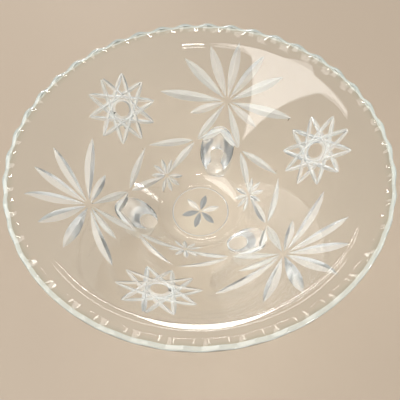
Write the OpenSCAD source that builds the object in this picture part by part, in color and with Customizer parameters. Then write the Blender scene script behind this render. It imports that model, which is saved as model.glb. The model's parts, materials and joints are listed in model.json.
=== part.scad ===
// Three-toed punch bowl of clear pressed glass: a flat floor, a flared conical wall with a
// mitre-cut pattern on its outside, a scalloped lip and three solid toes.
// The glass stands on z = 0 and is centred on the Z axis. Sizes are in millimetres.

/* [Bowl] */
// Overall diameter across the lip
bowl_d = 273; // [225:1:330]
// Height from the underside of the floor to the top of the lip
bowl_h = 90.5; // [75:0.5:110]
// Diameter of the flat floor, measured where the lines of floor and wall would meet
floor_d = 68; // [60:1:80]
// Thickness of the floor
floor_t = 5.5; // [4:0.1:8]
// Thickness of the wall, square to its surface
wall_t = 5; // [4.2:0.1:7]
// Radius of the outer curve between floor and wall
heel_r = 14; // [8:0.5:20]

/* [Lip] */
// Radial width of the flared lip
lip_w = 14.5; // [12:0.5:20]
// Height that the underside of the flare rises
lip_rise = 5; // [3.5:0.1:8]
// Width of the flat land on top of the lip
land_w = 2.7; // [2:0.1:4]
// Radial width of the bevel inside the land
bevel_w = 4.5; // [3:0.1:6]
// Number of scallops around the lip
scallop_count = 42; // [30:3:54]
// Depth of a scallop
scallop_h = 2.6; // [1.5:0.1:3.2]

/* [Toes] */
// Height of the floor's underside above the table
toe_h = 13; // [10:0.5:18]
// Diameter of a toe where it meets the bowl
toe_d = 33; // [28:0.5:38]
// Diameter of a toe at the table, before its edge is rounded
toe_foot_d = 20; // [16:0.5:24]
// Diameter of the circle through the middles of the toes
toe_circle_d = 110; // [100:1:120]

/* [Fans] */
// Distance down the wall from the lip to the tip of the middle leaf
fan_margin = 1; // [0.5:0.5:8]
// Length of the middle leaf of a fan
leaf_len = 46; // [38:0.5:54]
// Width of a fan leaf
leaf_w = 8.2; // [6:0.1:9.5]
// Depth of a fan leaf
leaf_depth = 2.4; // [1.6:0.1:2.8]
// Bare distance between the fan's middle and its leaves
hub_gap = 4; // [3:0.5:6]

/* [Ten-pointed stars] */
// Radius of a star to its points
star_r = 30.5; // [26:0.5:33]
// Width of a star's grooves
star_groove_w = 3; // [2:0.1:3.4]
// Depth of a star's grooves
star_groove_depth = 1.3; // [0.8:0.1:1.6]
// Diameter of the dished button in a star's middle
button_d = 18; // [14:0.5:20]
// Depth of the button's dish
button_depth = 1.6; // [1:0.1:2]
// Distance up the wall from a star to the middle of a fan
star_over_hub = 13.5; // [6:0.5:18]

/* [Floor medallion] */
// Radius of the six-petalled flower
flower_r = 17; // [13:0.5:19]
// Width of a petal
petal_w = 4.8; // [3.5:0.1:6]
// Depth of a petal
petal_depth = 1.5; // [1:0.1:2]
// Radius of the fine ring around the flower
ring_r = 24.7; // [21:0.1:27]
// Depth and half the width of the fine ring
ring_depth = 0.5; // [0.3:0.1:0.8]

/* [Hidden] */

$fn = 96;
ARC_STEPS = 6;              // straight steps in a rounded corner of the profile
EDGE_BREAK = 0.6;           // the small chamfer along the outer top edge
neck_round = 12;            // radius of the outer curve where the wall turns into the flare
LEAST_CURVE = 1 / 400;      // keeps the valley of a cut from being an arc of more than 400 mm
SLACK = 1;                  // how far a cutter stands out past the face it cuts
TOE_AZIMUTHS = [90, 210, 330];
STAR_AZIMUTHS = [30, 150, 270];
GLASS = [0.86, 0.93, 0.9, 0.6];

// ---- The wall's line, in the plane through the axis ----
bowl_r = bowl_d / 2;
floor_r = floor_d / 2;
neck_r = bowl_r - lip_w;
bevel_drop = scallop_h;
inner_top_z = bowl_h - bevel_drop;
flare_a = atan2(lip_rise, lip_w);
// The outer edge is as tall as it must be to leave the flare its full thickness
edge_h = wall_t / cos(flare_a) + bevel_drop - (land_w + bevel_w) * tan(flare_a);
neck_z = bowl_h - edge_h - lip_rise;
wall_a = atan2(neck_z, neck_r - floor_r);
wall_len = norm([neck_r - floor_r, neck_z]);

function unit(v) = v / norm(v);
function turn_of(v) = atan2(v[1], v[0]);
// The corner b of the path a-b-c, rounded to radius r with straight steps
function rounded(a, b, c, r) =
    let (u = unit(a - b), v = unit(c - b), half = acos(u * v) / 2,
         middle = b + unit(u + v) * r / sin(half),
         from = turn_of(b + u * r / tan(half) - middle),
         to = turn_of(b + v * r / tan(half) - middle),
         sweep = (to - from) - 360 * round((to - from) / 360))
    [for (i = [0:ARC_STEPS]) middle + r * [cos(from + sweep * i / ARC_STEPS), sin(from + sweep * i / ARC_STEPS)]];
// Where two lines, each given by a point and an angle, cross
function crossing(p, a, q, b) =
    let (d = q - p, s = (d[0] * sin(b) - d[1] * cos(b)) / sin(b - a)) p + s * [cos(a), sin(a)];

outer_heel = [floor_r, 0];
outer_neck = [neck_r, neck_z];
edge_foot = [bowl_r, bowl_h - edge_h];
inner_lip = [bowl_r - land_w - bevel_w, inner_top_z];
wall_in = outer_heel + wall_t * [-sin(wall_a), cos(wall_a)];
inner_heel = crossing([0, floor_t], 0, wall_in, wall_a);
inner_neck = crossing(wall_in, wall_a, inner_lip, flare_a);
inner_heel_r = heel_r + 6;  // the inside of the heel is rounder, which leaves the heel thick

outer_line = concat([[0, 0]], rounded([0, 0], outer_heel, outer_neck, heel_r),
    rounded(outer_heel, outer_neck, edge_foot, neck_round), [edge_foot]);
inner_line = concat([[0, floor_t]], rounded([0, floor_t], inner_heel, inner_neck, inner_heel_r),
    rounded(inner_heel, inner_neck, inner_lip, neck_round - wall_t), [inner_lip]);
lip_top = [[bowl_r, bowl_h - EDGE_BREAK], [bowl_r - EDGE_BREAK, bowl_h], [bowl_r - land_w, bowl_h]];

module at_height() translate([0, 0, toe_h]) children();
module glass() color(GLASS) children();

// The whole bowl without its pattern, toes or scallops
module plain_bowl() at_height() rotate_extrude()
    polygon(concat(outer_line, lip_top, [for (i = [len(inner_line) - 1:-1:0]) inner_line[i]]));
// Everything inside the bowl's outer line, which the toes are cut back to
module outer_form() at_height() rotate_extrude()
    polygon(concat(outer_line, [[bowl_r, bowl_h], [0, bowl_h]]));

// The joint faces: a cylinder between floor and wall, a level plane between wall and lip
joint_r = floor_r - heel_r * tan(wall_a / 2) - 1;
joint_z = toe_h + neck_z - neck_round * tan((wall_a - flare_a) / 2) - 1;
module joint_drum(extra = 0) translate([0, 0, -SLACK]) cylinder(h = bowl_h + toe_h + 2 * SLACK, r = joint_r + extra);
module joint_cap() translate([0, 0, joint_z]) cylinder(h = bowl_h, r = bowl_r + SLACK);

// ---- The cut pattern ----
// The wall's cone is laid out flat: a point is (rho, psi), its distance from the cone's tip
// and its angle there. hub_rho is the fans' middle.
function rho_of(r) = r / cos(wall_a);
tip_rho = rho_of(floor_r) + wall_len - neck_round * tan((wall_a - flare_a) / 2) - fan_margin;
hub_rho = tip_rho - leaf_len;
star_rho = hub_rho + star_over_hub;

// Puts its children on the outside of the wall, with +Z out of the glass and +X up the wall,
// turned by the angle that the laid-out cone gives
module on_wall(rho, psi, azimuth, turn)
    rotate([0, 0, azimuth + psi / cos(wall_a)])
        translate([rho * cos(wall_a), 0, toe_h + (rho - rho_of(floor_r)) * sin(wall_a)])
            rotate([0, -wall_a, 0]) rotate([180, 0, 0]) rotate([0, 0, psi - turn]) children();

// A V groove that makes a leaf of that length, width and depth in a face that curves away by
// bend. Its valley is an arc, as a mitre wheel's rim leaves it; where the face curves away
// faster than the leaf rises to its ends, the arc's middle is on the inner side of the glass.
module leaf_cut(length, width, depth, bend) {
    curve = 8 * depth / pow(length, 2) - bend;
    side = curve < 0 ? -1 : 1;
    valley_r = 1 / max(abs(curve), LEAST_CURVE);
    deep = depth + SLACK;
    half = width / 2 * deep / depth;
    sweep = asin((length / 2 + SLACK) / valley_r);
    translate([0, 0, side * valley_r - depth]) rotate([90, 0, 0]) rotate([0, 0, -90 * side - sweep])
        rotate_extrude(angle = 2 * sweep)
            polygon([[valley_r, 0], [valley_r - side * deep, half], [valley_r - side * deep, -half]]);
}

// A cut on the laid-out cone from a to b, both [along, across] from the point (rho, 0)
module wall_cut(rho, azimuth, a, b, width, depth) {
    middle = [rho, 0] + (a + b) / 2;
    m_rho = norm(middle);
    psi = turn_of(middle);
    turn = turn_of(b - a);
    bend = sin(wall_a) / (m_rho * cos(wall_a)) * pow(sin(turn - psi), 2);
    on_wall(m_rho, psi, azimuth, turn) leaf_cut(norm(b - a), width, depth, bend);
}

// Each leaf of half a fan: [angle from straight up the wall, length added to the middle leaf]
HALF_FAN = [[29.5, 1], [57.7, 5], [93.4, 12], [118, -12]];
module leaf(azimuth, angle, added)
    wall_cut(hub_rho, azimuth, hub_gap * [cos(angle), sin(angle)],
        (leaf_len + added) * [cos(angle), sin(angle)], leaf_w, leaf_depth);
module fan(azimuth) {
    leaf(azimuth, 0, 0);
    for (row = HALF_FAN, side = [-1, 1]) leaf(azimuth, side * row[0], row[1]);
}

// A star's grooves join each point to the one four places on, and so pass its middle
STAR_POINTS = 10;
STAR_SKIP = 4;
function star_point(i) = star_r * [cos(360 * i / STAR_POINTS), sin(360 * i / STAR_POINTS)];
module star_groove(azimuth, i)
    wall_cut(star_rho, azimuth, star_point(i), star_point(i + STAR_SKIP), star_groove_w, star_groove_depth);
module star_button(azimuth) on_wall(star_rho, 0, azimuth, 0) translate([0, 0, -button_depth])
    cylinder(h = button_depth + SLACK, r1 = button_d / 2 - button_depth, r2 = button_d / 2 + SLACK);

// The ribbon of cuts that runs round the toes: hub to knot, knot to corner
knot_rho = rho_of(toe_circle_d / 2 + 6.7);
knot_psi = 19.5 * cos(wall_a);
corner_rho = rho_of(toe_circle_d / 2 + 14.5);
corner_psi = 60 * cos(wall_a);
ribbon_w = 5.4;
ribbon_depth = 1.7;
function flat_point(rho, psi) = rho * [cos(psi), sin(psi)];
module ribbon(azimuth) {
    knot = flat_point(knot_rho, knot_psi);
    corner = flat_point(corner_rho, corner_psi);
    for (side = [-1, 1]) {
        to_knot = flipped(knot - [hub_rho, 0], side);
        to_corner = flipped(corner - [hub_rho, 0], side);
        wall_cut(hub_rho, azimuth, hub_gap * unit(to_knot), to_knot * 0.94, ribbon_w, ribbon_depth);
        wall_cut(hub_rho, azimuth, to_knot + (to_corner - to_knot) * 0.08,
            to_knot + (to_corner - to_knot) * 0.92, ribbon_w, ribbon_depth);
    }
}
function flipped(v, side) = [v[0], v[1] * side];

module flower() at_height() for (i = [0:5])
    rotate([0, 0, 30 + 60 * i]) translate([flower_r / 2 + 0.5, 0, 0])
        rotate([180, 0, 0]) leaf_cut(flower_r - 1, petal_w, petal_depth, 0);
module fine_ring() at_height() rotate_extrude()
    polygon([[ring_r - ring_depth, 0], [ring_r, ring_depth], [ring_r + ring_depth, 0], [ring_r, -ring_depth]]);

// ---- The pieces ----
module bowl_floor() glass() difference() {
    intersection() {
        plain_bowl();
        joint_drum();
    }
    flower();
    fine_ring();
}

module cone_with_fans() difference() {
    plain_bowl();
    joint_drum();
    joint_cap();
    for (azimuth = TOE_AZIMUTHS) {
        fan(azimuth);
        ribbon(azimuth);
    }
}
// The wall after so many of each star's grooves are cut
module grooved_wall(count) difference() {
    if (count > 1) grooved_wall(count - 1);
    else cone_with_fans();
    for (azimuth = STAR_AZIMUTHS) star_groove(azimuth, count);
}
module bowl_wall() glass() difference() {
    grooved_wall(STAR_POINTS);
    for (azimuth = STAR_AZIMUTHS) star_button(azimuth);
}

// A scallop is part of a cylinder that lies across the lip; neighbours meet in a cusp
scallop_half = bowl_r * sin(180 / scallop_count);
scallop_r = (pow(scallop_half, 2) + pow(scallop_h, 2)) / (2 * scallop_h);
module scallops() for (i = [0:scallop_count - 1])
    rotate([0, 0, 360 * (i + 0.5) / scallop_count])
        translate([inner_lip[0] - wall_t, 0, toe_h + bowl_h - scallop_h + scallop_r])
            rotate([0, 90, 0]) cylinder(h = lip_w, r = scallop_r);
module scalloped_lip() glass() difference() {
    intersection() {
        plain_bowl();
        joint_cap();
    }
    scallops();
}

// A toe is a short tapered peg with a rounded foot, cut back to the bowl's outside
toe_r = toe_d / 2;
toe_ankle = [0.94 * toe_r, toe_h + 3];      // where the taper ends, just above the floor
toe_foot_round = 4;
toe_top = (toe_circle_d / 2 + toe_r - floor_r) * tan(wall_a) + toe_h + wall_t / 2;
module toe(azimuth) glass() difference() {
    rotate([0, 0, azimuth]) translate([toe_circle_d / 2, 0, 0]) rotate_extrude()
        polygon(concat([[0, 0]], rounded([0, 0], [toe_foot_d / 2, 0], toe_ankle, toe_foot_round),
            [toe_ankle, [toe_r, 2 * toe_ankle[1]], [toe_r, toe_top], [0, toe_top]]));
    outer_form();
}

bowl_floor();
bowl_wall();
scalloped_lip();
toe(TOE_AZIMUTHS[0]);  // toe_back
toe(TOE_AZIMUTHS[1]);  // toe_left
toe(TOE_AZIMUTHS[2]);  // toe_right
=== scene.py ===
import json
import math
from bisect import bisect_right

import bmesh
import bpy
from bpy.props import FloatProperty, FloatVectorProperty, IntProperty, PointerProperty
from bpy.types import Operator, Panel, PropertyGroup
from mathutils import Matrix, Vector

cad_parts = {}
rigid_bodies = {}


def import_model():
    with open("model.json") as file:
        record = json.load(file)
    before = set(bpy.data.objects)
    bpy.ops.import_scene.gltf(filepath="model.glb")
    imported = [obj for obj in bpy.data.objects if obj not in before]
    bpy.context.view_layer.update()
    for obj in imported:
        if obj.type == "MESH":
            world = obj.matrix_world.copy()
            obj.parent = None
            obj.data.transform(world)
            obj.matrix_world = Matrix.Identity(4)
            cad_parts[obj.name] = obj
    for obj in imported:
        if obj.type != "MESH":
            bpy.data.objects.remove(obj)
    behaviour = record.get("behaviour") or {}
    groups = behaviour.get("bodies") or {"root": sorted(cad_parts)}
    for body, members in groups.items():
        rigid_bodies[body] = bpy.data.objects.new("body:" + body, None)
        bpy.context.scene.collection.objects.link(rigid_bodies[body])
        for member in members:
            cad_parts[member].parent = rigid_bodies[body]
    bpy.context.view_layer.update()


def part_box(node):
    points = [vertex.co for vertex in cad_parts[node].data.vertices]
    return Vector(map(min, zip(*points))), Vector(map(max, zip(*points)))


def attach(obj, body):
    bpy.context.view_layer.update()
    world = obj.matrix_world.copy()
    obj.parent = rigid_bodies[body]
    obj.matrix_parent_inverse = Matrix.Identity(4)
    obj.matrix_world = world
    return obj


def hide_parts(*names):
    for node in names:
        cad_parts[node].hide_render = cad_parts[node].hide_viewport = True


bl_info = {
    "name": "Three-Toed Punch Bowl",
    "version": (1, 0, 0),
    "blender": (4, 5, 0),
    "location": "View3D > Sidebar > Punch Bowl",
    "description": "A punch bowl of clear pressed glass with cut fans and stars",
    "category": "Object",
}

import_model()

MM = 0.001
FLOOR_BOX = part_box("bowl_floor")
LIP_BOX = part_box("scalloped_lip")
TOE_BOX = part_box("toe_back")
FAN_AZIMUTHS = {"toe_back": 90, "toe_left": 210, "toe_right": 330}  # each fan is over a toe

# Faces of these indices carry the materials that every piece is given, in this order
BODY, CUT, JOINT, RIM, TOE = range(5)
MATERIALS = ("pressed_glass", "cut_glass", "glass_to_glass", "rim_glass", "toe_glass")
CREASE = math.radians(14)   # a sharper turn between two faces shows as an edge
TINY = 1e-6                 # lengths closer than this are the same
FAR = 1.0                   # further out or up than any part of the bowl


# ---- Settings ----

def length(name, description, default):
    return FloatProperty(name=name, description=description, default=default, min=0.0,
                         precision=4, unit="LENGTH")


def angle(name, description, degrees):
    return FloatProperty(name=name, description=description, default=math.radians(degrees),
                         subtype="ANGLE", unit="ROTATION")


def share(name, description, default):
    return FloatProperty(name=name, description=description, default=default, min=0.0, max=1.0,
                         subtype="FACTOR")


def colour(name, description, default):
    return FloatVectorProperty(name=name, description=description, default=default, size=3,
                               min=0.0, max=1.0, subtype="COLOR")


class PressingSizes(PropertyGroup):
    """The pressed bowl before it is cut"""
    lip_radius: length("Lip radius", "Radius of the bowl to its outer edge", LIP_BOX[1].x)
    top: length("Top", "Height of the scallops' tops above the table", LIP_BOX[1].z)
    floor_height: length("Floor height", "Height of the floor's underside", FLOOR_BOX[0].z)
    floor_radius: length("Floor radius", "Radius where floor and wall would meet", 34 * MM)
    floor_thickness: length("Floor thickness", "Thickness of the floor", 5.5 * MM)
    wall: length("Wall thickness", "Thickness of the wall, square to it", 5 * MM)
    heel_radius: length("Heel radius", "Outer curve between floor and wall", 14 * MM)
    neck_radius: length("Neck radius", "Outer curve between wall and lip", 12 * MM)
    lip_width: length("Lip width", "Radial width of the flared lip", 14.5 * MM)
    lip_rise: length("Lip rise", "Height that the flare's underside rises", 5 * MM)
    land_width: length("Land width", "Width of the wavy land on top of the lip", 2.7 * MM)
    bevel_width: length("Bevel width", "Width of the flutes inside the land", 4.5 * MM)
    scallop_depth: length("Scallop depth", "Depth of the lip's waves", 2.6 * MM)
    scallops: IntProperty(name="Scallops", description="Waves round the lip", default=42, min=3)
    floor_joint: length("Floor joint", "Radius where floor and wall pieces meet",
                        FLOOR_BOX[1].x)
    lip_joint: length("Lip joint", "Height where wall and lip pieces meet", LIP_BOX[0].z)
    toe_circle: length("Toe circle", "Radius of the circle through the toes' middles",
                       (TOE_BOX[0].y + TOE_BOX[1].y) / 2)
    toe_radius: length("Toe radius", "Radius of a toe at the bowl",
                       (TOE_BOX[1].x - TOE_BOX[0].x) / 2)
    foot_radius: length("Foot radius", "Radius of a toe at the table", 10 * MM)
    foot_round: length("Foot rounding", "Rounding of a toe's foot", 4 * MM)
    toe_point: share("Toe point", "How far a toe is drawn out to a point", 0.07)


class CutSizes(PropertyGroup):
    """The mitre cuts on the outside of the bowl"""
    hub_radius: length("Fan radius", "Radius of the fans' middles", 88.4 * MM)
    leaf_width: length("Leaf width", "Width of a fan's leaves", 8.6 * MM)
    leaf_depth: length("Leaf depth", "Depth of a fan's leaves", 2.8 * MM)
    leaf_start: share("Leaf start", "Part of a leaf's length left uncut at the hub", 0.07)
    star_radius: length("Star place", "Radius of the stars' middles", 96.8 * MM)
    star_size: length("Star size", "Radius of a star to its points", 30.5 * MM)
    groove_width: length("Star groove width", "Width of a star's grooves", 3.7 * MM)
    groove_depth: length("Star groove depth", "Depth of a star's grooves", 1.6 * MM)
    button_radius: length("Button radius", "Radius of the dished middle of a star", 9 * MM)
    button_flat: length("Button flat", "Radius of the dish's flat bottom", 6.2 * MM)
    button_depth: length("Button depth", "Depth of the dish", 1.7 * MM)
    ribbon_width: length("Ribbon width", "Width of the ribbon's leaves", 6.6 * MM)
    ribbon_depth: length("Ribbon depth", "Depth of the ribbon's leaves", 2.0 * MM)
    arch_width: length("Arch width", "Width of the thin leaves over a toe", 3.4 * MM)
    arch_depth: length("Arch depth", "Depth of the thin leaves over a toe", 1.1 * MM)
    ray_length: length("Ray length", "Length of a small star's rays", 15.8 * MM)
    ray_width: length("Ray width", "Width of a small star's rays", 4.0 * MM)
    ray_depth: length("Ray depth", "Depth of a small star's rays", 1.5 * MM)
    flower_radius: length("Flower radius", "Radius of the floor's flower", 17 * MM)
    petal_width: length("Petal width", "Width of a petal", 5.4 * MM)
    petal_depth: length("Petal depth", "Depth of a petal", 1.0 * MM)
    ring_radius: length("Ring radius", "Radius of the fine ring in the floor", 24.5 * MM)
    ring_width: length("Ring width", "Width of the fine ring", 1.0 * MM)


class GlassFinish(PropertyGroup):
    """Colour and surface of the glass"""
    thin_tint: colour("Thin glass", "Colour of the wall", (0.965, 0.98, 0.97))
    thick_tint: colour("Thick glass", "Colour of the lip's edge and the toes", (0.84, 0.90, 0.87))
    index: FloatProperty(name="Index", description="Index of refraction", default=1.52, min=1.0)
    ripple: share("Ripple", "Strength of the pressed surface's slow ripple", 0.10)
    cut_grain: share("Cut grain", "Strength of the fine grain on the cuts", 0.16)


class StudioSettings(PropertyGroup):
    """Camera, floor and lights"""
    azimuth: angle("Camera azimuth", "Turn of the camera round the bowl", -71.9)
    elevation: angle("Camera elevation", "Height of the camera over the horizon", 61.4)
    roll: angle("Camera roll", "Tilt of the camera about its own line of sight", -2.1)
    distance: length("Camera distance", "From the camera to the middle of the floor", 0.376)
    lens: FloatProperty(name="Lens", description="Focal length in millimetres", default=37.8,
                        min=1.0)
    shift_x: FloatProperty(name="Shift across", description="Sideways shift of the lens",
                           default=-0.0013)
    shift_y: FloatProperty(name="Shift up", description="Upward shift of the lens",
                           default=0.0305)
    floor_colour: colour("Floor", "Colour of the studio floor", (0.46, 0.385, 0.31))


# ---- The bowl's section ----

def rounded(before, corner, after, radius, steps):
    """The arc of that radius which rounds the corner of a line, as points."""
    u, v = (before - corner).normalized(), (after - corner).normalized()
    half = u.angle(v) / 2
    middle = corner + (u + v).normalized() * (radius / math.sin(half))
    first = corner + u * (radius / math.tan(half)) - middle
    sweep = math.pi - 2 * half
    if u.x * v.y - u.y * v.x > 0:
        sweep = -sweep
    return [middle + Matrix.Rotation(sweep * i / steps, 2) @ first for i in range(steps + 1)]


def rounded_line(corners):
    """A line through (point, radius, steps) corners, each rounded where it has a radius."""
    points = [corners[0][0]]
    for before, (corner, radius, steps), after in zip(corners, corners[1:], corners[2:]):
        points += rounded(before[0], corner, after[0], radius, steps)
    return points + [corners[-1][0]]


def evenly(line, step=4 * MM):
    """The line with its long straights divided, so that its mesh has no long thin faces."""
    points = [line[0]]
    for a, b in zip(line, line[1:]):
        parts = max(1, math.ceil((b - a).length / step))
        points += [a.lerp(b, i / parts) for i in range(1, parts + 1)]
    return points


def between(line, axis, low, high):
    """The stretch of a rising line whose coordinate on that axis lies from low to high."""
    kept = []
    for a, b in zip(line, line[1:]):
        for limit in (low, high):
            if a[axis] < limit < b[axis]:
                kept.append(a.lerp(b, (limit - a[axis]) / (b[axis] - a[axis])))
        if low <= b[axis] <= high:
            kept.append(b)
    return ([line[0]] if low <= line[0][axis] else []) + kept


class Section:
    """Outer and inner lines of the bowl, as (radius, height) points out from the axis."""

    EDGE_ROUND = 1.6 * MM       # under the lip's outer edge, and at the foot of the flutes
    RIM_ROUND = 0.9 * MM        # where the outer edge turns into the land
    RIDGE_ROUND = 1.2 * MM      # where the land turns down into the flutes
    HEEL_GAIN = 6 * MM          # how much wider the heel curves inside than outside

    def __init__(self, p):
        base = Vector((0, p.floor_height))
        height = p.top - p.floor_height
        flare = math.atan2(p.lip_rise, p.lip_width)
        edge = (p.wall / math.cos(flare) + p.scallop_depth
                - (p.land_width + p.bevel_width) * math.tan(flare))
        neck = base + Vector((p.lip_radius - p.lip_width, height - edge - p.lip_rise))
        heel = base + Vector((p.floor_radius, 0))
        self.slope = math.atan2(neck.y - heel.y, neck.x - heel.x)
        foot = base + Vector((p.lip_radius, height - edge))
        rim = base + Vector((p.lip_radius, height))
        ridge = rim - Vector((p.land_width, 0))
        crease = ridge - Vector((p.bevel_width, p.scallop_depth))
        floor_top = base + Vector((0, p.floor_thickness))
        through = p.wall / math.cos(self.slope)
        inner_heel = heel + Vector(((p.floor_thickness - through) / math.tan(self.slope),
                                    p.floor_thickness))
        gap = crease.y - heel.y - through - (crease.x - heel.x) * math.tan(flare)
        reach = gap / (math.tan(self.slope) - math.tan(flare))
        inner_neck = heel + Vector((reach, reach * math.tan(self.slope) + through))
        self.outer = rounded_line([(base, 0, 0), (heel, p.heel_radius, 10),
                                   (neck, p.neck_radius, 6), (foot, self.EDGE_ROUND, 6),
                                   (rim, 0, 0)])
        self.inner = rounded_line([(floor_top, 0, 0),
                                   (inner_heel, p.heel_radius + self.HEEL_GAIN, 12),
                                   (inner_neck, p.neck_radius - p.wall, 6), (crease, 0, 0)])
        top = rounded_line([(self.outer[-2], 0, 0), (rim, self.RIM_ROUND, 6),
                            (ridge, self.RIDGE_ROUND, 5), (crease, self.EDGE_ROUND, 5),
                            (self.inner[-2], 0, 0)])
        self.outer = evenly(self.outer[:-1])
        self.top = top[1:-1]
        self.inner = evenly(self.inner[:-1])
        self.crease = crease

    def piece(self, axis, low, high, with_top=False):
        """The closed outline of the part of the section between two limits."""
        lip = self.top if with_top else []
        return (between(self.outer, axis, low, high) + lip
                + between(self.inner, axis, low, high)[::-1])

    def underside(self, radius):
        """Height of the outer surface at that radius."""
        i = max(1, bisect_right([p.x for p in self.outer], radius))
        a, b = self.outer[i - 1], self.outer[min(i, len(self.outer) - 1)]
        upright = b.x - a.x < TINY / 1000
        return a.y if upright else a.lerp(b, (radius - a.x) / (b.x - a.x)).y


class Sheet:
    """The outer surface laid flat: x and y lie on it, from its cone's tip, and z points out.
    The cone is the one of that slope which touches the surface at that radius."""

    def __init__(self, section, slope=0, radius=0):
        self.line = section.outer
        self.turn = math.cos(slope)
        sides = [b - a for a, b in zip(self.line, self.line[1:])]
        self.reach = [0.0]
        for side in sides:
            self.reach.append(self.reach[-1] + side.length)
        out = [Vector((s.y, -s.x)).normalized() for s in sides]
        self.out = [out[0]] + [(a + b).normalized() for a, b in zip(out, out[1:])] + [out[-1]]
        self.tip = radius / self.turn - self.reach_at(radius)

    def reach_at(self, radius):
        """Length of the outer line from the axis to that radius."""
        i = max(1, bisect_right([p.x for p in self.line], radius))
        a, b = self.line[i - 1], self.line[i]
        return self.reach[i - 1] + (b - a).length * (radius - a.x) / (b.x - a.x)

    def spot(self, radius, degrees=0.0):
        """Where the point at that radius and azimuth lies on the flat sheet."""
        psi = math.radians(degrees) * self.turn
        return (self.reach_at(radius) + self.tip) * Vector((math.cos(psi), math.sin(psi)))

    def place(self, flat, azimuth):
        """The point of space for a point of the flat sheet."""
        reach = math.hypot(flat.x, flat.y) - self.tip
        turn = azimuth + math.atan2(flat.y, flat.x) / self.turn
        i = min(max(1, bisect_right(self.reach, reach)), len(self.line) - 1)
        t = (reach - self.reach[i - 1]) / (self.reach[i] - self.reach[i - 1])
        spot = self.line[i - 1].lerp(self.line[i], t)
        spot += self.out[i - 1].lerp(self.out[i], min(max(t, 0), 1)) * flat.z
        return Vector((spot.x * math.cos(turn), spot.x * math.sin(turn), spot.y))

    def wrap(self, bm, degrees):
        """Bends a flat cutter on to the glass, turned to that azimuth."""
        for v in bm.verts:
            v.co = self.place(v.co, math.radians(degrees))
        bmesh.ops.recalc_face_normals(bm, faces=bm.faces)
        return bm


# ---- Meshes ----

AROUND = 420        # steps round the bowl, ten to a scallop
TOE_AROUND = 72     # steps round a toe
DISH_AROUND = 48    # steps round the dished middle of a star
LEAF_STEPS = 16     # steps along a leaf or a groove
CLEAR = 1.0 * MM    # how far a cutter stands out of the glass


def spun(points, closed, steps=AROUND):
    """The solid that an outline of (radius, height) points makes round the Z axis."""
    bm = bmesh.new()
    verts = [bm.verts.new((p.x, 0, p.y)) for p in points]
    edges = [bm.edges.new(pair) for pair in zip(verts, verts[1:])]
    if closed:
        edges.append(bm.edges.new((verts[-1], verts[0])))
    bmesh.ops.spin(bm, geom=verts + edges, cent=(0, 0, 0), axis=(0, 0, 1),
                   angle=2 * math.pi, steps=steps, use_merge=True)
    bmesh.ops.remove_doubles(bm, verts=bm.verts, dist=TINY)
    bmesh.ops.recalc_face_normals(bm, faces=bm.faces)
    return bm


def pointed(t, belly):
    """Depth along a leaf as a share: nothing at its ends, 1 at its belly, below 0 beyond."""
    lean = (2 * belly - 1) / (belly * (2 - 3 * belly))
    return t * (1 - t) * (1 + lean * t) / (belly * (1 - belly) * (1 + lean * belly))


def even(t, sharpness=8):
    """Depth along a groove that is even but for its ends."""
    return 1 - abs(2 * t - 1) ** sharpness


def leaf(start, end, width, depth, shape, overrun=0.03, steps=LEAF_STEPS):
    """A V-bottomed cutter from start to end on the flat sheet. It overruns both ends by that
    share of its length."""
    bm = bmesh.new()
    bmesh.ops.create_cone(bm, cap_ends=True, segments=3, radius1=1, radius2=1, depth=1)
    lengthwise = [e for e in bm.edges if abs(e.verts[0].co.z - e.verts[1].co.z) > 0.5]
    bmesh.ops.subdivide_edges(bm, edges=lengthwise, cuts=steps - 1, use_grid_fill=True)
    run = end - start
    across = Vector((-run.y, run.x)).normalized()
    # It starts as an upright prism of three sides, one of whose edges becomes the valley
    for v in bm.verts:
        t = (v.co.z + 0.5) * (1 + 2 * overrun) - overrun
        valley = depth * shape(t)
        if abs(v.co.x) < 0.1:
            side, out = 0, -valley
        else:
            side, out = math.copysign((CLEAR + valley) * width / 2 / depth, v.co.x), CLEAR
        v.co = (start + run * t + across * side).to_3d() + Vector((0, 0, out))
    for face in bm.faces:
        face.material_index = CUT
    return bm


def dish(spot, outer, inner, depth):
    """A cutter for a round dish with a flat bottom."""
    bm = bmesh.new()
    flare = (outer - inner) / depth
    bmesh.ops.create_cone(bm, cap_ends=True, segments=DISH_AROUND, radius1=inner,
                          radius2=outer + CLEAR * flare, depth=depth + CLEAR)
    bmesh.ops.translate(bm, verts=bm.verts, vec=spot.to_3d() + Vector((0, 0, (CLEAR - depth) / 2)))
    for face in bm.faces:
        face.material_index = CUT if len(face.verts) == 4 else BODY
    return bm


def as_object(bm, name):
    """A mesh object with the bowl's materials. The bmesh is freed."""
    mesh = bpy.data.meshes.new(name)
    bm.to_mesh(mesh)
    bm.free()
    for material in MATERIALS:
        mesh.materials.append(bpy.data.materials[material])
    return bpy.data.objects.new(name, mesh)


def tool_box(name):
    """The collection that holds one kind of cutting tool."""
    if name not in bpy.data.collections:
        box = bpy.data.collections.new(name)
        bpy.context.scene.collection.children.link(box)
    return bpy.data.collections[name]


def keep_tool(bm, name):
    """Makes an object of the cutter and puts it with its kind."""
    tool_box(name).objects.link(as_object(bm, name))


def carve(piece, *boxes):
    """Takes every tool of those collections away from the piece."""
    for box in boxes:
        cut = piece.modifiers.new(box, "BOOLEAN")
        cut.operation, cut.solver = "DIFFERENCE", "MANIFOLD"
        cut.operand_type, cut.collection = "COLLECTION", tool_box(box)
        bpy.context.view_layer.update()
        seen = piece.evaluated_get(bpy.context.evaluated_depsgraph_get())
        carved = bpy.data.meshes.new_from_object(seen)
        if not carved.polygons:
            raise RuntimeError(f"{box} left nothing of {piece.name}")
        piece.modifiers.clear()
        piece.data = carved
        carved.name = piece.name


def finish_piece(piece, node):
    """Smooth faces with crisp cuts, and the piece's place in the frame."""
    piece.data.shade_smooth()
    piece.data.set_sharp_from_angle(angle=CREASE)
    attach(piece, "root")
    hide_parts(node)


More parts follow.
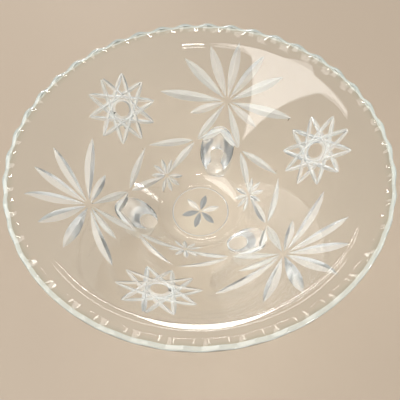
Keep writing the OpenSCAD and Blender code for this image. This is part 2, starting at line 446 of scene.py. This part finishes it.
def add_piece(bm, name):
    """Makes an object of the bmesh and puts it in the scene."""
    piece = as_object(bm, name)
    bpy.context.scene.collection.objects.link(piece)
    return piece


def mark_joint(bm, test):
    """Gives the faces whose corners all pass the test the joint's material."""
    for face in bm.faces:
        if all(test(v.co) for v in face.verts):
            face.material_index = JOINT


def near(value, target):
    return abs(value - target) < 2 * TINY


# ---- Materials ----

RIPPLE_SCALE = 28           # a ripple is about 36 mm long
SMEAR_SCALE = 16
SMEARED = (0.45, 0.75)      # from where the smears' noise shows to where it is at its full
SMEAR_ROUGHNESS = 0.012
BUMP_HEIGHT = 0.4 * MM


def link(tree, source, target):
    tree.links.new(source, target)


def glass_skin():
    """Node group for the look that all of the glass shares: a tint that deepens where the
    glass is thick, slow ripples from the press and a fine grain."""
    group = bpy.data.node_groups.new("glass_skin", "ShaderNodeTree")
    sockets = group.interface
    for name, kind, default in (("Thin Tint", "NodeSocketColor", (1, 1, 1, 1)),
                                ("Thick Tint", "NodeSocketColor", (1, 1, 1, 1)),
                                ("Lip Start", "NodeSocketFloat", 0.0),
                                ("Lip End", "NodeSocketFloat", 1.0),
                                ("Ripple", "NodeSocketFloat", 0.1),
                                ("Grain", "NodeSocketFloat", 0.0),
                                ("Grain Scale", "NodeSocketFloat", 900.0),
                                ("Haze", "NodeSocketFloat", 0.0)):
        sockets.new_socket(name=name, in_out="INPUT", socket_type=kind).default_value = default
    for name, kind in (("Tint", "NodeSocketColor"), ("Roughness", "NodeSocketFloat"),
                       ("Height", "NodeSocketFloat")):
        sockets.new_socket(name=name, in_out="OUTPUT", socket_type=kind)
    nodes = group.nodes
    given, result = nodes.new("NodeGroupInput"), nodes.new("NodeGroupOutput")
    place = nodes.new("ShaderNodeTexCoord")

    # Distance from the axis, which is where the lip's thick edge is
    level = nodes.new("ShaderNodeVectorMath")
    level.operation = "MULTIPLY"
    level.inputs[1].default_value = (1, 1, 0)
    link(group, place.outputs["Object"], level.inputs[0])
    radius = nodes.new("ShaderNodeVectorMath")
    radius.operation = "LENGTH"
    link(group, level.outputs["Vector"], radius.inputs[0])
    thick = nodes.new("ShaderNodeMapRange")
    thick.interpolation_type = "SMOOTHSTEP"
    link(group, radius.outputs["Value"], thick.inputs["Value"])
    link(group, given.outputs["Lip Start"], thick.inputs["From Min"])
    link(group, given.outputs["Lip End"], thick.inputs["From Max"])
    tint = nodes.new("ShaderNodeMix")
    tint.data_type = "RGBA"
    link(group, thick.outputs["Result"], tint.inputs["Factor"])
    link(group, given.outputs["Thin Tint"], tint.inputs["A"])
    link(group, given.outputs["Thick Tint"], tint.inputs["B"])
    link(group, tint.outputs["Result"], result.inputs["Tint"])

    # Slow ripple of the pressed surface, and a fine grain on top of it
    ripple = nodes.new("ShaderNodeTexNoise")
    ripple.inputs["Scale"].default_value = RIPPLE_SCALE
    ripple.inputs["Detail"].default_value = 1
    grain = nodes.new("ShaderNodeTexNoise")
    grain.inputs["Detail"].default_value = 2
    link(group, given.outputs["Grain Scale"], grain.inputs["Scale"])
    heights = []
    for noise, strength in ((ripple, "Ripple"), (grain, "Grain")):
        link(group, place.outputs["Object"], noise.inputs["Vector"])
        part = nodes.new("ShaderNodeMath")
        part.operation = "MULTIPLY"
        link(group, noise.outputs["Fac"], part.inputs[0])
        link(group, given.outputs[strength], part.inputs[1])
        heights.append(part)
    total = nodes.new("ShaderNodeMath")
    link(group, heights[0].outputs["Value"], total.inputs[0])
    link(group, heights[1].outputs["Value"], total.inputs[1])
    link(group, total.outputs["Value"], result.inputs["Height"])

    # Faint smears of handling
    smear = nodes.new("ShaderNodeTexNoise")
    smear.inputs["Scale"].default_value = SMEAR_SCALE
    smear.inputs["Detail"].default_value = 4
    link(group, place.outputs["Object"], smear.inputs["Vector"])
    haze = nodes.new("ShaderNodeMapRange")
    haze.inputs["From Min"].default_value = SMEARED[0]
    haze.inputs["From Max"].default_value = SMEARED[1]
    haze.inputs["To Max"].default_value = SMEAR_ROUGHNESS
    link(group, smear.outputs["Fac"], haze.inputs["Value"])
    rough = nodes.new("ShaderNodeMath")
    link(group, haze.outputs["Result"], rough.inputs[0])
    link(group, given.outputs["Haze"], rough.inputs[1])
    link(group, rough.outputs["Value"], result.inputs["Roughness"])
    return group


def glass_material(name, finish, clearness, lamp_share, **skin_values):
    """Glass that bends what is seen through it and lets lamps shine through."""
    material = bpy.data.materials.new(name)
    material.use_nodes = True
    tree = material.node_tree
    shader = tree.nodes["Principled BSDF"]
    shader.inputs["IOR"].default_value = finish.index
    shader.inputs["Transmission Weight"].default_value = clearness
    skin = tree.nodes.new("ShaderNodeGroup")
    skin.node_tree = bpy.data.node_groups.get("glass_skin") or glass_skin()
    skin.inputs["Thin Tint"].default_value = (*finish.thin_tint, 1)
    skin.inputs["Thick Tint"].default_value = (*finish.thick_tint, 1)
    for socket, value in skin_values.items():
        skin.inputs[socket.replace("_", " ").title()].default_value = value
    bump = tree.nodes.new("ShaderNodeBump")
    bump.inputs["Distance"].default_value = BUMP_HEIGHT
    link(tree, skin.outputs["Tint"], shader.inputs["Base Color"])
    link(tree, skin.outputs["Roughness"], shader.inputs["Roughness"])
    link(tree, skin.outputs["Height"], bump.inputs["Height"])
    link(tree, bump.outputs["Normal"], shader.inputs["Normal"])
    let_lamps_through(tree, shader, lamp_share)
    return material


def let_lamps_through(tree, shader, lamp_share):
    """Lamps shine through the glass, so its shadow is as light as real glass throws."""
    passed = tree.nodes.new("ShaderNodeBsdfTransparent")
    passed.inputs["Color"].default_value = (lamp_share, lamp_share, lamp_share, 1)
    path = tree.nodes.new("ShaderNodeLightPath")
    mix = tree.nodes.new("ShaderNodeMixShader")
    link(tree, path.outputs["Is Shadow Ray"], mix.inputs["Fac"])
    link(tree, shader.outputs["BSDF"], mix.inputs[1])
    link(tree, passed.outputs["BSDF"], mix.inputs[2])
    link(tree, mix.outputs["Shader"], tree.nodes["Material Output"].inputs["Surface"])


def joint_material(name):
    """Where one piece of the pressing meets the next the glass runs on, so nothing shows."""
    material = bpy.data.materials.new(name)
    material.use_nodes = True
    tree = material.node_tree
    tree.nodes.remove(tree.nodes["Principled BSDF"])
    through = tree.nodes.new("ShaderNodeBsdfTransparent")
    link(tree, through.outputs["BSDF"], tree.nodes["Material Output"].inputs["Surface"])
    return material


# ---- Operators ----

def sector_tools(sheet, name, make):
    """Makes a cutter of one sector three times and lays each on the glass at its place."""
    for degrees in FAN_AZIMUTHS.values():
        keep_tool(sheet.wrap(make(), degrees), name)


class BOWL_OT_glass(Operator):
    """Mixes the bowl's glass"""
    bl_idname = "punch_bowl.glass"
    bl_label = "Mix Glass"

    # The lip takes on the tint of thick glass between these distances from its outer edge
    TINTED = (6 * MM, 2 * MM)

    def execute(self, context):
        finish, outside = context.scene.bowl_finish, context.scene.bowl_sizes.lip_radius
        shared = {"ripple": finish.ripple, "lip_start": outside - self.TINTED[0],
                  "lip_end": outside - self.TINTED[1]}
        glass_material("pressed_glass", finish, clearness=1.0, lamp_share=0.87, **shared)
        glass_material("cut_glass", finish, clearness=0.66, lamp_share=0.75,
                       grain=finish.cut_grain, haze=0.01, **shared)
        glass_material("rim_glass", finish, clearness=0.6, lamp_share=0.8, haze=0.04, **shared)
        glass_material("toe_glass", finish, clearness=0.88, lamp_share=0.9, **shared)
        joint_material("glass_to_glass")
        return {"FINISHED"}


class BOWL_OT_wall_tools(Operator):
    """Makes the tools that cut the fans, stars and ribbon"""
    bl_idname = "punch_bowl.wall_tools"
    bl_label = "Make Wall Tools"

    # Leaves of half a fan: degrees from straight up the wall, length, and share of a full
    # leaf's width and depth
    MIDDLE_LEAF = (0, 49 * MM, 1)
    SIDE_LEAVES = ((29.5, 48.8 * MM, 1), (57.7, 52.6 * MM, 1), (93.4, 60.7 * MM, 1),
                   (118, 35 * MM, 0.8))
    LEAF_BELLY = 0.57               # how far along it a leaf is deepest and widest
    # Places on the wall, as radius and degrees from the middle of a fan
    KNOT = (61.7 * MM, 19.5)        # where the ribbon crosses itself beside a toe
    CORNER = (69.5 * MM, 60)        # the ribbon's corner under a star
    ARCH = (69.5 * MM, 0)           # the arch over a toe
    SMALL_STAR = (45.2 * MM, 60)
    RIBBON_ENDS = (0.06, 0.96)      # where along its line a leaf of the ribbon starts and ends
    ARCH_START, ARCH_BELLY = 0.05, 0.5
    RAYS = (18, 54, 126, 162)       # degrees from straight up the wall to a small star's rays
    RAY_START, RAY_BELLY, RAY_STEPS = 0.08, 0.55, 10
    STAR_AZIMUTH = 60               # a big star is halfway between two fans
    POINTS, SKIP = 10, 4            # its grooves join each point to the fourth on
    GROOVE_OVERRUN = 0.02

    def execute(self, context):
        cuts = context.scene.bowl_cuts
        section = Section(context.scene.bowl_sizes)
        sheet = Sheet(section, section.slope, context.scene.bowl_sizes.toe_circle)
        for side in (1, -1):
            leaves = self.SIDE_LEAVES if side < 0 else (self.MIDDLE_LEAF, *self.SIDE_LEAVES)
            self.fan(sheet, cuts, leaves, side)
            self.ribbon(sheet, cuts, side)
        self.star(sheet, cuts)
        self.small_star(sheet, cuts)
        return {"FINISHED"}

    def fan(self, sheet, cuts, leaves, side):
        hub = sheet.spot(cuts.hub_radius)
        for degrees, reach, full in leaves:
            way = Matrix.Rotation(math.radians(degrees * side), 2) @ Vector((reach, 0))
            sector_tools(sheet, "fan_tools", lambda: leaf(
                hub + way * cuts.leaf_start, hub + way, cuts.leaf_width * full,
                cuts.leaf_depth * full, lambda t: pointed(t, self.LEAF_BELLY)))

    def ribbon(self, sheet, cuts, side):
        def spot(place):
            return sheet.spot(place[0], place[1] * side)
        hub, knot, corner = sheet.spot(cuts.hub_radius), spot(self.KNOT), spot(self.CORNER)
        star, arch = spot(self.SMALL_STAR), spot(self.ARCH)
        for a, b, belly in ((hub, knot, 0.6), (knot, corner, 0.42), (knot, star, 0.4)):
            start, end = (a.lerp(b, t) for t in self.RIBBON_ENDS)
            sector_tools(sheet, "ribbon_tools", lambda: leaf(
                start, end, cuts.ribbon_width, cuts.ribbon_depth, lambda t: pointed(t, belly)))
        sector_tools(sheet, "arch_tools", lambda: leaf(
            knot.lerp(arch, self.ARCH_START), arch, cuts.arch_width, cuts.arch_depth,
            lambda t: pointed(t, self.ARCH_BELLY)))

    def star(self, sheet, cuts):
        middle = sheet.spot(cuts.star_radius, self.STAR_AZIMUTH)
        up = middle.normalized() * cuts.star_size
        tips = [middle + Matrix.Rotation(2 * math.pi * i / self.POINTS, 2) @ up
                for i in range(self.POINTS)]
        for i, tip in enumerate(tips):
            far = tips[(i + self.SKIP) % self.POINTS]
            sector_tools(sheet, "star_tools", lambda: leaf(
                tip, far, cuts.groove_width, cuts.groove_depth, even, self.GROOVE_OVERRUN))
        sector_tools(sheet, "button_tools", lambda: dish(
            middle, cuts.button_radius, cuts.button_flat, cuts.button_depth))

    def small_star(self, sheet, cuts):
        middle = sheet.spot(*self.SMALL_STAR)
        up = middle.normalized() * cuts.ray_length
        for degrees in [d * side for d in self.RAYS for side in (1, -1)]:
            way = Matrix.Rotation(math.radians(degrees), 2) @ up
            sector_tools(sheet, "small_star_tools", lambda: leaf(
                middle + way * self.RAY_START, middle + way, cuts.ray_width, cuts.ray_depth,
                lambda t: pointed(t, self.RAY_BELLY), steps=self.RAY_STEPS))


class BOWL_OT_floor(Operator):
    """Adds the floor with its flower and fine ring"""
    bl_idname = "punch_bowl.floor"
    bl_label = "Add Floor"

    PETALS = 6
    FIRST_PETAL = 90                # its azimuth in degrees
    PETAL_START, PETAL_BELLY = 0.06, 0.55

    def execute(self, context):
        sizes, cuts = context.scene.bowl_sizes, context.scene.bowl_cuts
        section = Section(sizes)
        bm = spun(section.piece(0, 0, sizes.floor_joint), closed=False)
        mark_joint(bm, lambda p: near(math.hypot(p.x, p.y), sizes.floor_joint))
        piece = add_piece(bm, "glass_floor")
        sheet = Sheet(section)
        for i in range(self.PETALS):
            way = Matrix.Rotation(math.radians(360 / self.PETALS * i), 2)
            tip = way @ Vector((cuts.flower_radius, 0))
            petal = leaf(tip * self.PETAL_START, tip, cuts.petal_width, cuts.petal_depth,
                         lambda t: pointed(t, self.PETAL_BELLY))
            keep_tool(sheet.wrap(petal, self.FIRST_PETAL), "flower_tools")
        keep_tool(self.ring(cuts.ring_radius, cuts.ring_width, sizes.floor_height), "flower_tools")
        carve(piece, "flower_tools")
        finish_piece(piece, "bowl_floor")
        return {"FINISHED"}

    def ring(self, radius, width, level):
        """A cutter for a ring half as deep as it is wide, which stands out as far again."""
        bm = spun([Vector((radius - width, level - width / 2)), Vector((radius, level + width / 2)),
                   Vector((radius + width, level - width / 2))], closed=True)
        for face in bm.faces:
            face.material_index = CUT
        return bm


class BOWL_OT_toes(Operator):
    """Adds the three toes that the bowl stands on"""
    bl_idname = "punch_bowl.toes"
    bl_label = "Add Toes"

    ANKLE_SHARE = 0.94              # radius of the ankle, as a share of the toe's
    ANKLE_RISE = 3 * MM             # height of the ankle over the bowl's underside
    ANKLE_ROUND = 12 * MM
    POINT_SHARPNESS = 5
    CAP_RINGS = (0.66, 0.33, 0)     # rings that the toe's top is divided into, and its middle
    JOINT_SINK = 0.2 * MM           # how far it is let into the wall, so their faces part cleanly

    def execute(self, context):
        sizes = context.scene.bowl_sizes
        section = Section(sizes)
        for node, degrees in FAN_AZIMUTHS.items():
            piece = add_piece(self.toe(sizes, section, degrees), "glass_" + node)
            keep_tool(self.toe(sizes, section, degrees), "toe_tools")
            carve(piece, "arch_tools", "ribbon_tools")
            finish_piece(piece, node)
        return {"FINISHED"}

    def toe(self, sizes, section, degrees):
        """A tapered peg, drawn out to a point away from the axis, that fits the wall."""
        radius = sizes.toe_radius / (1 + sizes.toe_point)
        foot = Vector((sizes.foot_radius, 0))
        ankle = Vector((radius * self.ANKLE_SHARE, sizes.floor_height + self.ANKLE_RISE))
        shin = Vector((radius, 2 * ankle.y))
        side = (rounded(Vector((0, 0)), foot, ankle, sizes.foot_round, 8)
                + rounded(foot, ankle, shin, self.ANKLE_ROUND, 5))
        to_wall, into_wall = FAR, 2 * FAR   # stand for heights that the wall gives below
        points = [Vector((0, 0))] + side + [Vector((radius, to_wall)), Vector((radius, into_wall))]
        points += [Vector((radius * ring, into_wall)) for ring in self.CAP_RINGS]
        bm = spun(points, closed=False, steps=TOE_AROUND)
        for v in bm.verts:
            out = math.hypot(v.co.x, v.co.y)
            facing = max(0, v.co.x / out) if out else 0
            risen = min(1, v.co.z / ankle.y)
            v.co.xy *= 1 + sizes.toe_point * facing ** self.POINT_SHARPNESS * risen
        bmesh.ops.translate(bm, verts=bm.verts, vec=(sizes.toe_circle, 0, 0))
        for v in bm.verts:
            if v.co.z >= to_wall:
                sink = self.JOINT_SINK if v.co.z >= into_wall else 0
                v.co.z = section.underside(math.hypot(v.co.x, v.co.y)) + sink
        for face in bm.faces:
            face.material_index = TOE
        mark_joint(bm, lambda p: p.z >= section.underside(math.hypot(p.x, p.y)) - TINY)
        bmesh.ops.rotate(bm, verts=bm.verts, cent=(0, 0, 0),
                         matrix=Matrix.Rotation(math.radians(degrees), 3, "Z"))
        return bm


class BOWL_OT_wall(Operator):
    """Adds the wall and cuts its pattern"""
    bl_idname = "punch_bowl.wall"
    bl_label = "Add Wall"

    def execute(self, context):
        sizes = context.scene.bowl_sizes
        section = Section(sizes)
        outer, inner = ([p for p in between(line, 0, sizes.floor_joint, FAR)
                         if p.y < sizes.lip_joint] for line in (section.outer, section.inner))
        ends = [between(line, 1, sizes.lip_joint, FAR)[0]
                for line in (section.outer, section.inner)]
        bm = spun(outer + ends + inner[::-1], closed=True)
        mark_joint(bm, lambda p: near(p.z, sizes.lip_joint)
                   or near(math.hypot(p.x, p.y), sizes.floor_joint))
        piece = add_piece(bm, "glass_wall")
        carve(piece, "toe_tools", "fan_tools", "ribbon_tools", "arch_tools", "star_tools",
              "button_tools", "small_star_tools")
        finish_piece(piece, "bowl_wall")
        return {"FINISHED"}


class BOWL_OT_lip(Operator):
    """Adds the flared lip with its scallops"""
    bl_idname = "punch_bowl.lip"
    bl_label = "Add Lip"

    ROUNDED_OFF = 1.0 * MM      # the roundings take the lip's top no further down than this
    RIM_START = 0.5 * MM        # how far inside the land the rim's satin glass starts

    def execute(self, context):
        sizes = context.scene.bowl_sizes
        section = Section(sizes)
        bm = spun(section.piece(1, sizes.lip_joint, sizes.top, with_top=True), closed=True)
        mark_joint(bm, lambda p: near(p.z, sizes.lip_joint))
        inside = section.crease.x
        ridge = sizes.lip_radius - sizes.land_width
        for v in bm.verts:
            radius = math.hypot(v.co.x, v.co.y)
            up_flute = (radius - inside) / (ridge - inside)
            line = section.crease.y + sizes.scallop_depth * up_flute
            if v.co.z > min(line, sizes.top) - self.ROUNDED_OFF and radius > inside:
                turn = math.atan2(v.co.y, v.co.x) * sizes.scallops
                wave = 0.5 - 0.5 * math.cos(turn)
                v.co.z -= sizes.scallop_depth * min(1, up_flute) * wave
        for face in bm.faces:
            if all(math.hypot(v.co.x, v.co.y) > ridge - self.RIM_START for v in face.verts):
                face.material_index = RIM
        piece = add_piece(bm, "glass_lip")
        carve(piece, "fan_tools")
        finish_piece(piece, "scalloped_lip")
        return {"FINISHED"}


class BOWL_OT_clear_tools(Operator):
    """Puts the cutting tools away"""
    bl_idname = "punch_bowl.clear_tools"
    bl_label = "Clear Tools"

    def execute(self, context):
        for box in [c for c in bpy.data.collections if c.name.endswith("_tools")]:
            for tool in list(box.objects):
                mesh = tool.data
                bpy.data.objects.remove(tool)
                bpy.data.meshes.remove(mesh)
            bpy.data.collections.remove(box)
        return {"FINISHED"}


class BOWL_OT_studio(Operator):
    """Sets up the floor, lights and camera"""
    bl_idname = "punch_bowl.studio"
    bl_label = "Set Up Studio"

    # Name, place, size, watts and colour of each soft light, all aimed at the bowl
    LIGHTS = (
        ("ceiling", (0.26, -0.76, 1.62), (0.26, 0.08), 1.8, (1.0, 0.98, 0.95)),
        ("left_sky", (-0.80, -0.30, 1.75), (1.6, 1.4), 20, (1.0, 0.98, 0.96)),
        ("bead_light", (-0.40, 1.25, 1.15), (0.40, 0.07), 1.8, (1.0, 0.98, 0.96)),
        ("right_strip", (1.15, 0.75, 0.42), (0.10, 0.34), 2.6, (1.0, 0.98, 0.96)),
        ("back_strip", (-0.75, 1.25, 0.62), (0.5, 0.05), 2.4, (1.0, 0.98, 0.96)),
        ("front_strip", (0.9, -1.0, 0.60), (0.40, 0.06), 2.0, (1.0, 0.98, 0.96)),
    )

    FILM_WIDTH = 36                 # in millimetres, as the lens is
    ROOM_COLOUR, ROOM_LIGHT = (0.88, 0.86, 0.82, 1), 0.50
    FLOOR_HALF = 3.0                # half the floor's side
    FLOOR_DROP = 0.1 * MM           # keeps the floor just clear of the toes
    FLOOR_ROUGHNESS = 0.6
    GLASS_BOUNCES = 28              # a ray crosses many faces of glass
    CLEAR_BOUNCES = 32              # and many of the faces where two pieces meet
    BRIGHTEST_BOUNCE = 8            # keeps stray bright specks out

    def execute(self, context):
        studio = context.scene.bowl_studio
        self.floor(studio)
        self.world()
        for light in self.LIGHTS:
            self.light(*light)
        self.camera(context, studio)
        cycles = context.scene.cycles
        cycles.max_bounces = cycles.transmission_bounces = self.GLASS_BOUNCES
        cycles.transparent_max_bounces = self.CLEAR_BOUNCES
        cycles.sample_clamp_indirect = self.BRIGHTEST_BOUNCE
        cycles.use_denoising = True
        context.scene.view_settings.view_transform = "Standard"
        context.scene.view_settings.look = "Medium High Contrast"
        return {"FINISHED"}

    def floor(self, studio):
        bm = bmesh.new()
        bmesh.ops.create_grid(bm, x_segments=1, y_segments=1, size=self.FLOOR_HALF)
        bmesh.ops.translate(bm, verts=bm.verts, vec=(0, 0, -self.FLOOR_DROP))
        mesh = bpy.data.meshes.new("studio_floor")
        bm.to_mesh(mesh)
        bm.free()
        floor = bpy.data.objects.new("studio_floor", mesh)
        bpy.context.scene.collection.objects.link(floor)
        material = bpy.data.materials.new("floor_paper")
        material.use_nodes = True
        shader = material.node_tree.nodes["Principled BSDF"]
        shader.inputs["Base Color"].default_value = (*studio.floor_colour, 1)
        shader.inputs["Roughness"].default_value = self.FLOOR_ROUGHNESS
        mesh.materials.append(material)

    def world(self):
        world = bpy.data.worlds.new("studio_world")
        world.use_nodes = True
        background = world.node_tree.nodes["Background"]
        background.inputs["Color"].default_value = self.ROOM_COLOUR
        background.inputs["Strength"].default_value = self.ROOM_LIGHT
        bpy.context.scene.world = world

    def light(self, name, place, size, watts, tone):
        lamp = bpy.data.lights.new(name, "AREA")
        lamp.shape = "RECTANGLE"
        lamp.size, lamp.size_y = size
        lamp.energy, lamp.color = watts, tone
        light = bpy.data.objects.new(name, lamp)
        light.location = place
        light.rotation_euler = Vector(place).to_track_quat("Z", "Y").to_euler()
        bpy.context.scene.collection.objects.link(light)

    def camera(self, context, studio):
        sizes = context.scene.bowl_sizes
        lens = bpy.data.cameras.new("camera")
        lens.lens, lens.sensor_width = studio.lens, self.FILM_WIDTH
        lens.shift_x, lens.shift_y = studio.shift_x, studio.shift_y
        flat = math.cos(studio.elevation)
        back = Vector((flat * math.cos(studio.azimuth), flat * math.sin(studio.azimuth),
                       math.sin(studio.elevation)))
        camera = bpy.data.objects.new("camera", lens)
        turn = back.to_track_quat("Z", "Y").to_matrix() @ Matrix.Rotation(studio.roll, 3, "Z")
        place = Vector((0, 0, sizes.floor_height)) + back * studio.distance
        camera.matrix_world = Matrix.Translation(place) @ turn.to_4x4()
        context.scene.collection.objects.link(camera)
        context.scene.camera = camera


class BOWL_PT_panel(Panel):
    """The bowl's tools in the sidebar"""
    bl_idname = "BOWL_PT_panel"
    bl_label = "Punch Bowl"
    bl_space_type = "VIEW_3D"
    bl_region_type = "UI"
    bl_category = "Punch Bowl"

    def draw(self, context):
        for operator in OPERATORS:
            self.layout.operator(operator.bl_idname)
        for settings in SETTINGS:
            box = self.layout.box()
            group = getattr(context.scene, settings)
            for name in group.__annotations__:
                box.prop(group, name)


OPERATORS = (BOWL_OT_glass, BOWL_OT_wall_tools, BOWL_OT_floor, BOWL_OT_toes, BOWL_OT_wall,
             BOWL_OT_lip, BOWL_OT_clear_tools, BOWL_OT_studio)
SETTINGS = {"bowl_sizes": PressingSizes, "bowl_cuts": CutSizes, "bowl_finish": GlassFinish,
            "bowl_studio": StudioSettings}


def register():
    for group in SETTINGS.values():
        bpy.utils.register_class(group)
    for cls in (*OPERATORS, BOWL_PT_panel):
        bpy.utils.register_class(cls)
    for name, group in SETTINGS.items():
        setattr(bpy.types.Scene, name, PointerProperty(type=group))


def unregister():
    for name in SETTINGS:
        delattr(bpy.types.Scene, name)
    for cls in (BOWL_PT_panel, *reversed(OPERATORS), *SETTINGS.values()):
        bpy.utils.unregister_class(cls)


def main():
    register()
    for operator in OPERATORS:
        group, name = operator.bl_idname.split(".")
        getattr(getattr(bpy.ops, group), name)()


if __name__ == "__main__":
    main()
